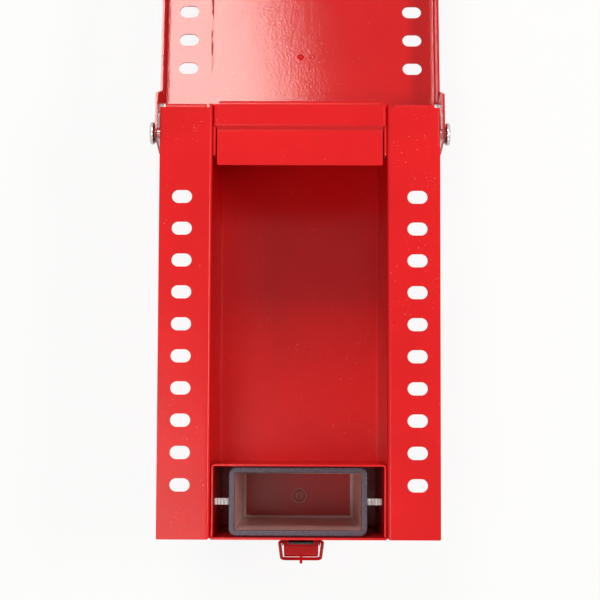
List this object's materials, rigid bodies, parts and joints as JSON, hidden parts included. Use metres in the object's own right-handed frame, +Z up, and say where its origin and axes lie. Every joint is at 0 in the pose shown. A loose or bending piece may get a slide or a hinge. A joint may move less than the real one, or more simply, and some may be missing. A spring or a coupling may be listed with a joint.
{
  "type": "group lockout box",
  "caption": "Folded steel lockout box with two slotted flanges, a slotted hinged lid, a key bin and a padlockable toggle latch.",
  "frame": {"origin": "centre of the base's underside, on the surface that the box stands on", "axes": "+Z up, -Y towards the latch at the front, +Y towards the lid's hinge, +X to the right seen from the front"},
  "size_m": [0.212, 0.6028, 0.155],
  "materials": {
    "box_coat": "gloss",
    "lid_coat": "gloss",
    "latch_coat": "gloss",
    "stainless": "polished",
    "washer": "matte",
    "latch_steel": "zinc plated",
    "bin_plastic": "smoky, translucent"
  },
  "bodies": {
    "box": {"side_panel_left": "box_coat", "side_panel_right": "box_coat", "tub": "box_coat", "rear_bridge": "box_coat", "partition": "box_coat", "latch_base": "latch_coat", "latch_staple": "latch_coat", "latch_rivet_1": "latch_steel", "latch_rivet_2": "latch_steel", "latch_rivet_3": "latch_steel", "latch_rivet_4": "latch_steel", "lever_pin": "latch_steel"},
    "hinge_pins": {"pivot_pin_left": "stainless", "pivot_pin_right": "stainless", "pin_washer_left": "washer", "pin_washer_right": "washer", "pin_clip_left": "stainless", "pin_clip_right": "stainless"},
    "lid": {"lid_shell": "lid_coat", "latch_keeper": "latch_coat"},
    "bin": {"key_bin": "bin_plastic"},
    "latch_lever": {"latch_lever": "latch_coat"},
    "bail_barrel": {"bail_barrel": "latch_steel"},
    "latch_bail": {"latch_bail": "latch_coat"}
  },
  "joints": [
    {"name": "lid_hinge", "type": "hinge", "parent": "box", "child": "hinge_pins", "pos_m": [0, 0.133, 0.131], "axis": [1, 0, 0], "range_deg": [0, 189.1]},
    {"name": "lid_slide", "type": "slide", "parent": "hinge_pins", "child": "lid", "axis": [0, -0.9874, 0.1582], "range_m": [0, 0.0102]},
    {"name": "latch_lever_swing", "type": "hinge", "parent": "box", "child": "latch_lever", "pos_m": [0, -0.1546, 0.109], "axis": [-1, 0, 0], "range_deg": [0, 110]},
    {"name": "bail_barrel_turn", "type": "hinge", "parent": "latch_lever", "child": "bail_barrel", "pos_m": [0, -0.1542, 0.101], "axis": [-1, 0, 0], "range_deg": [-110, 0]},
    {"name": "latch_bail_swing", "type": "hinge", "parent": "bail_barrel", "child": "latch_bail", "pos_m": [0, -0.1542, 0.101], "axis": [-1, 0, 0], "range_deg": [0, 152]},
    {"name": "bin_lift", "type": "slide", "parent": "box", "child": "bin", "axis": [0, 0, 1], "range_m": [0, 0.008]}
  ],
  "couplings": [
    {"joint": "lid_slide", "follows": "lid_hinge", "m_per_rad": 0.0030875},
    {"joint": "bail_barrel_turn", "follows": "latch_lever_swing", "ratio": -1}
  ]
}
